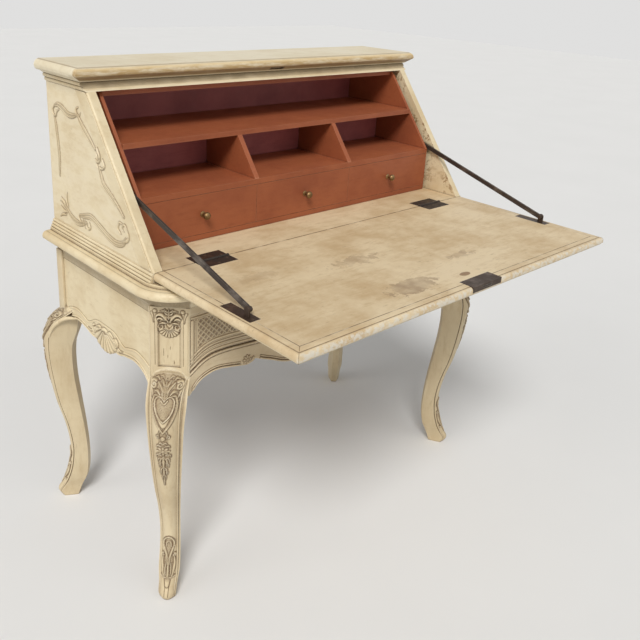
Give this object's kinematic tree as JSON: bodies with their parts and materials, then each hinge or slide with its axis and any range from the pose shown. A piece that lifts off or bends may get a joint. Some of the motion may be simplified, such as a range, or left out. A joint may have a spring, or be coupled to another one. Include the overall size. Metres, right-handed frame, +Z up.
{
  "type": "secretary desk",
  "caption": "Slant-front secretary desk on carved cabriole legs, with a drop flap on side stays, pigeonholes and small drawers inside, and a drawer in the shaped frieze.",
  "frame": {"origin": "on the floor, in the middle of the box that the desk takes with its flap let down", "axes": "+X across the desk to its right-hand end, +Y from the front to the back, +Z up"},
  "size_m": [1.0408, 0.8522, 1.095],
  "materials": {
    "painted_wood": "worn cream paint with brown glaze",
    "red_wood": "satin red-brown stain",
    "plain_wood": "bare",
    "dark_iron": "brown patina",
    "steel": "tarnished",
    "brass": "aged"
  },
  "bodies": {
    "case": {"leg_front_left": "painted_wood", "leg_front_right": "painted_wood", "leg_rear_left": "painted_wood", "leg_rear_right": "painted_wood", "lower_side_left": "painted_wood", "lower_side_right": "painted_wood", "drawer_runner_left": "plain_wood", "drawer_runner_right": "plain_wood", "reeds_left": "painted_wood", "reeds_right": "painted_wood", "case_side_left": "painted_wood", "case_side_right": "painted_wood", "lining_left": "red_wood", "lining_right": "red_wood", "pigeonhole_divider_left": "red_wood", "pigeonhole_divider_right": "red_wood", "drawer_divider_left": "red_wood", "drawer_divider_right": "red_wood", "hinge_fixed_leaf_left": "dark_iron", "hinge_fixed_leaf_right": "dark_iron", "lower_back": "plain_wood", "front_apron": "painted_wood", "drawer_rail": "painted_wood", "waist_frame": "painted_wood", "desk_board": "painted_wood", "case_back": "painted_wood", "cornice": "painted_wood", "top_board": "painted_wood", "lock_strike": "dark_iron", "drawer_bed": "red_wood", "pigeonhole_floor": "red_wood", "pigeonhole_back": "red_wood", "top_shelf": "red_wood", "interior_fascia": "red_wood"},
    "flap": {"flap_panel": "painted_wood", "flap_lipping_left": "painted_wood", "flap_lipping_right": "painted_wood", "flap_lipping_front": "painted_wood", "hinge_moving_leaf_left": "dark_iron", "hinge_moving_leaf_right": "dark_iron", "stay_bracket_left": "steel", "stay_bracket_right": "steel", "lock_case": "dark_iron"},
    "lock_bolt": {"lock_bolt": "steel"},
    "stay_left": {"stay_left": "steel"},
    "stay_right": {"stay_right": "steel"},
    "frieze_drawer": {"frieze_drawer_front": "painted_wood", "frieze_drawer_box": "plain_wood"},
    "small_drawer_left": {"small_drawer_front_left": "red_wood", "small_drawer_box_left": "plain_wood", "small_drawer_knob_left": "brass"},
    "small_drawer_middle": {"small_drawer_front_middle": "red_wood", "small_drawer_box_middle": "plain_wood", "small_drawer_knob_middle": "brass"},
    "small_drawer_right": {"small_drawer_front_right": "red_wood", "small_drawer_box_right": "plain_wood", "small_drawer_knob_right": "brass"}
  },
  "joints": [
    {"name": "flap_hinge", "type": "hinge", "parent": "case", "child": "flap", "pos_m": [0, -0.02426, 0.745], "axis": [1, 0, 0], "range_deg": [-127.5, 0]},
    {"name": "stay_left_pivot", "type": "hinge", "parent": "flap", "child": "stay_left", "pos_m": [-0.4534, -0.27426, 0.758], "axis": [1, 0, 0], "range_deg": [0, 51.6]},
    {"name": "stay_right_pivot", "type": "hinge", "parent": "flap", "child": "stay_right", "pos_m": [0.4534, -0.27426, 0.758], "axis": [1, 0, 0], "range_deg": [0, 51.6]},
    {"name": "lock_bolt_slide", "type": "slide", "parent": "flap", "child": "lock_bolt", "axis": [0, -1, 0], "range_m": [0, 0.008]},
    {"name": "small_drawer_left_slide", "type": "slide", "parent": "case", "child": "small_drawer_left", "axis": [0, -1, 0], "range_m": [0, 0.12]},
    {"name": "small_drawer_middle_slide", "type": "slide", "parent": "case", "child": "small_drawer_middle", "axis": [0, -1, 0], "range_m": [0, 0.12]},
    {"name": "small_drawer_right_slide", "type": "slide", "parent": "case", "child": "small_drawer_right", "axis": [0, -1, 0], "range_m": [0, 0.12]},
    {"name": "frieze_drawer_slide", "type": "slide", "parent": "case", "child": "frieze_drawer", "axis": [0, -1, 0], "range_m": [0, 0.26]}
  ],
  "couplings": [
    {"joint": "stay_left_pivot", "follows": "flap_hinge", "ratio": -0.40314},
    {"joint": "stay_right_pivot", "follows": "flap_hinge", "ratio": -0.40314}
  ]
}
